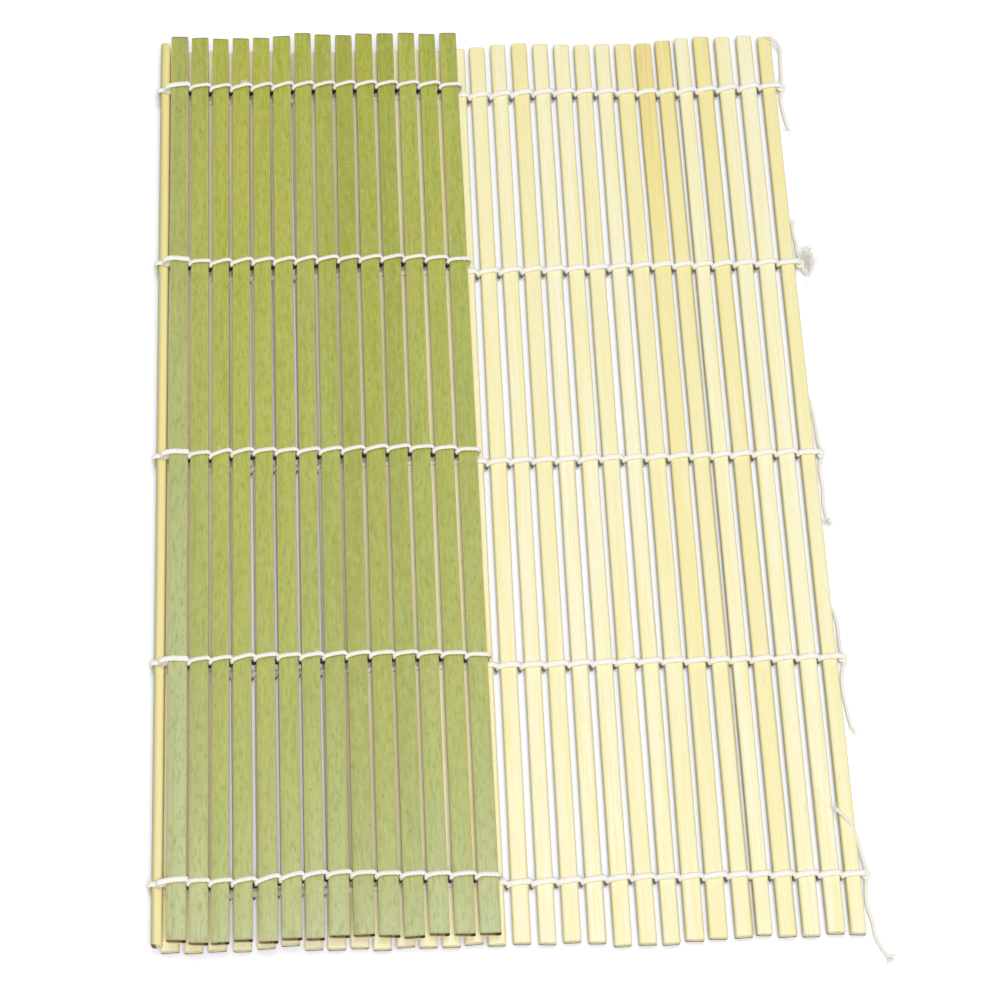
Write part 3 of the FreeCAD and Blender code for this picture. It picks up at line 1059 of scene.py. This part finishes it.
def knot_place(row):
    """Where the middle of a row's knot is."""
    place = row_place(row, 1)
    return SLATS[0].at(SLATS[0].drift(place) - KNOT_REACH, place, 0.0)


def scatter(chance, upward):
    """A random vector that keeps nearer to the level than to upright."""
    return Vector((chance.gauss(0, 1), chance.gauss(0, 1), chance.gauss(0, upward)))


def fray(shape, tip, direction, chance, count, length):
    """Loose fibres that spread from the end of a thread."""
    routes = []
    for fibre in range(count):
        aim = (direction + FRAY_SPREAD * scatter(chance, 0.5)).normalized()
        curl = scatter(chance, 0.4)
        reach = length * chance.uniform(*FRAY_REACHES) * MM
        points = [tip - direction * FRAY_ROOT * MM, tip + aim * reach * FRAY_START]
        for bend, share in FRAY_BENDS:
            points.append(points[-1] + (aim + bend * curl).normalized() * reach * share)
        for point in points[1:]:
            point.z = max(point.z, LOWEST_FIBRE * MM)
        routes.append(Fibre(shape, points, chance.uniform(*FRAY_THICKNESS)))
    return routes


def frizz(shape, middle, chance):
    """The curly tangle at the knot whose ends have come untwisted."""
    routes = []
    for fibre in range(FRIZZ_COUNT):
        offset = Vector((chance.gauss(1.6, 0.8), chance.gauss(1.9, 2.2), chance.gauss(-0.3, 0.5)))
        place = middle + MM * offset
        aim = Vector((chance.uniform(-0.2, 1.0), chance.gauss(0, 0.8), chance.gauss(0, 0.3))).normalized()
        points = [place]
        for bend in range(FRIZZ_BENDS):
            aim = (aim + FRIZZ_CURL * scatter(chance, 0.5)).normalized()
            place = place + aim * chance.uniform(*FRIZZ_STEPS) * MM
            place.z = max(place.z, LOWEST_FIBRE * MM)
            points.append(place)
        routes.append(Fibre(shape, points, chance.uniform(*FRIZZ_THICKNESS), FRIZZ_SOIL))
    return routes


def end_routes(shape, row):
    """The knot of a row, its loose ends and their frayed fibres."""
    chance = random.Random(KNOT_SEED + row)
    middle = knot_place(row)
    routes = [Route(shape, knot_line(middle, KNOT_SIZE, chance.uniform(*KNOT_TURNS)))]
    for end, offsets in enumerate(LOOSE_ENDS[row]):
        points = [middle + MM * Vector(offset) for offset in offsets]
        routes.append(Route(shape, points, soil=END_SOIL))
        direction = (points[-1] - points[-2]).normalized()
        count = FRAYED_ENDS.get((row, end), FRAY_COUNT)
        routes += fray(shape, points[-1], direction, chance, count, FRAY_LENGTH)
    if row == FRIZZY_ROW:
        routes += frizz(shape, middle, chance)
    return routes


def make_threads(material):
    """One wrap of thread for each slat, and one knot with its loose ends for each row."""
    wraps = [Shape() for slat in SLATS]
    knots = [Shape() for row in ROW_PLACES]
    routes = []
    for slat, shape in zip(SLATS, wraps):
        routes += wrap_routes(slat, shape)
    for row, shape in enumerate(knots):
        routes += end_routes(shape, row)
    chance = random.Random(TWIST_SEED)
    for route, line in zip(routes, smooth_lines(routes)):
        add_yarn(route, line, chance.uniform(0, 6))
    for slat, shape in zip(SLATS, wraps):
        piece = shape.make(f"thread_on_{slat.name}", [material])
        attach(piece, slat.name)
        if slat.number == LAST_LOWER:
            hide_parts(*[f"binding_thread_{row + 1}" for row in range(len(ROW_PLACES))])
    for row, shape in enumerate(knots):
        piece = shape.make(f"knot_{row + 1}", [material])
        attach(piece, SLATS[0].name)


# Camera, floor and light

def make_camera():
    """The photograph's camera, as it was fitted."""
    yaw, pitch, roll = (math.radians(angle) for angle in (CAMERA_YAW, CAMERA_PITCH, CAMERA_ROLL))
    forward = Vector((math.sin(yaw) * math.cos(pitch), math.cos(yaw) * math.cos(pitch), -math.sin(pitch)))
    level = Vector((math.cos(yaw), -math.sin(yaw), 0))
    upward = level.cross(forward)
    right = level * math.cos(roll) + upward * math.sin(roll)
    top = upward * math.cos(roll) - level * math.sin(roll)
    data = bpy.data.cameras.new("camera")
    data.sensor_width = SENSOR_SIDE
    data.lens = FOCAL_PIXELS * SENSOR_SIDE / PHOTO_SIDE
    data.clip_start, data.clip_end = CAMERA_CLIP
    camera = bpy.data.objects.new("camera", data)
    axes = Matrix((right, top, -forward)).transposed().to_4x4()
    camera.matrix_world = Matrix.Translation(Vector(CAMERA_PLACE) * MM) @ axes
    bpy.context.scene.collection.objects.link(camera)
    bpy.context.scene.camera = camera


def seeing_rays(tree):
    """A node output that is 1 for the camera's rays and for those off and through shiny things."""
    path = tree.nodes.new("ShaderNodeLightPath")
    share = path.outputs["Is Camera Ray"]
    for name in ("Is Glossy Ray", "Is Transmission Ray"):
        either = tree.nodes.new("ShaderNodeMath")
        either.operation = "MAXIMUM"
        tree.links.new(share, either.inputs[0])
        tree.links.new(path.outputs[name], either.inputs[1])
        share = either.outputs[0]
    return share


def plain_shader(tree, kind, tint):
    """The output of a shader of one colour."""
    made = tree.nodes.new(kind)
    made.inputs["Color"].default_value = (*tint, 1.0)
    return made.outputs[0]


def mix_shaders(tree, share, first, second):
    made = tree.nodes.new("ShaderNodeMixShader")
    for number, source in enumerate((share, first, second)):
        tree.links.new(source, made.inputs[number])
    return made.outputs[0]


def table_fade(tree):
    """A node output that is 0 near the mat and 1 far off."""
    place = tree.nodes.new("ShaderNodeNewGeometry")
    reach = tree.nodes.new("ShaderNodeVectorMath")
    reach.operation = "LENGTH"
    fade = tree.nodes.new("ShaderNodeMapRange")
    fade.inputs["From Min"].default_value = TABLE_NEAR
    fade.inputs["From Max"].default_value = TABLE_FAR
    tree.links.new(place.outputs["Position"], reach.inputs[0])
    tree.links.new(reach.outputs["Value"], fade.inputs["Value"])
    return fade.outputs[0]


def floor_material():
    """White table, seen partly as a light sheet, so that its shadows stay faint, and as white far off."""
    material = bpy.data.materials.new("white_table")
    material.use_nodes = True
    tree = material.node_tree
    tree.nodes.clear()
    seen = tree.nodes.new("ShaderNodeAddShader")
    tree.links.new(plain_shader(tree, "ShaderNodeBsdfDiffuse", SHADED_TINT), seen.inputs[0])
    tree.links.new(plain_shader(tree, "ShaderNodeEmission", SHEET_TINT), seen.inputs[1])
    white = plain_shader(tree, "ShaderNodeEmission", WHITE)
    backdrop = mix_shaders(tree, table_fade(tree), seen.outputs[0], white)
    lit = plain_shader(tree, "ShaderNodeBsdfDiffuse", TABLE_TINT)
    output = tree.nodes.new("ShaderNodeOutputMaterial")
    tree.links.new(mix_shaders(tree, seeing_rays(tree), lit, backdrop), output.inputs[0])
    return material


def make_floor():
    side = TABLE_SIDE
    corners = [(-side, -side, 0), (side, -side, 0), (side, side, 0), (-side, side, 0)]
    mesh = bpy.data.meshes.new("table")
    mesh.from_pydata(corners, [], [(0, 1, 2, 3)])
    mesh.materials.append(floor_material())
    floor = bpy.data.objects.new("table", mesh)
    floor.location.z = -TABLE_DROP
    bpy.context.scene.collection.objects.link(floor)


def make_light():
    """Soft daylight from all round, and two soft lamps, one above and one on the camera's side."""
    world = bpy.data.worlds.new("studio")
    world.use_nodes = True
    tree = world.node_tree
    lit = tree.nodes["Background"]
    lit.inputs["Color"].default_value = (*WHITE, 1.0)
    lit.inputs["Strength"].default_value = DAYLIGHT
    seen = plain_shader(tree, "ShaderNodeBackground", WHITE)
    shown = mix_shaders(tree, seeing_rays(tree), lit.outputs[0], seen)
    tree.links.new(shown, tree.nodes["World Output"].inputs["Surface"])
    bpy.context.scene.world = world
    add_lamp("top_lamp", *TOP_LAMP)
    add_lamp("front_lamp", *FRONT_LAMP)


def add_lamp(name, place, size, power, tint):
    """A round soft lamp that points at the mat."""
    data = bpy.data.lights.new(name, "AREA")
    data.shape = "DISK"
    data.size = size
    data.energy = power
    data.color = tint
    lamp = bpy.data.objects.new(name, data)
    lamp.location = place
    lamp.rotation_euler = (-lamp.location).to_track_quat("-Z", "Y").to_euler()
    bpy.context.scene.collection.objects.link(lamp)


def build():
    make_camera()
    make_light()
    make_floor()
    skin, end = skin_material(), end_material("bamboo_end", False)
    turned = inner_material("bamboo_inner_turned", "#B6AE92")
    # The lower slats' sides are a lighter colour than the turned slats', painted light against the shade in
    # their gaps
    lower = [skin, inner_material("bamboo_inner", "#E2DCBC"), end]
    fold = [skin, turned, end]
    # The upper slats' ends get near-black painted shadow at one corner
    upper = [skin, turned, end_material("bamboo_end_scorched", True)]
    kinds = [lower] * LAST_LOWER + [fold] + [upper] * (SLAT_COUNT - FOLD_SLAT)
    for slat, materials in zip(SLATS, kinds):
        make_slat(slat, materials)
    make_threads(cotton_material())
    bpy.context.scene.view_settings.view_transform = "Standard"


build()
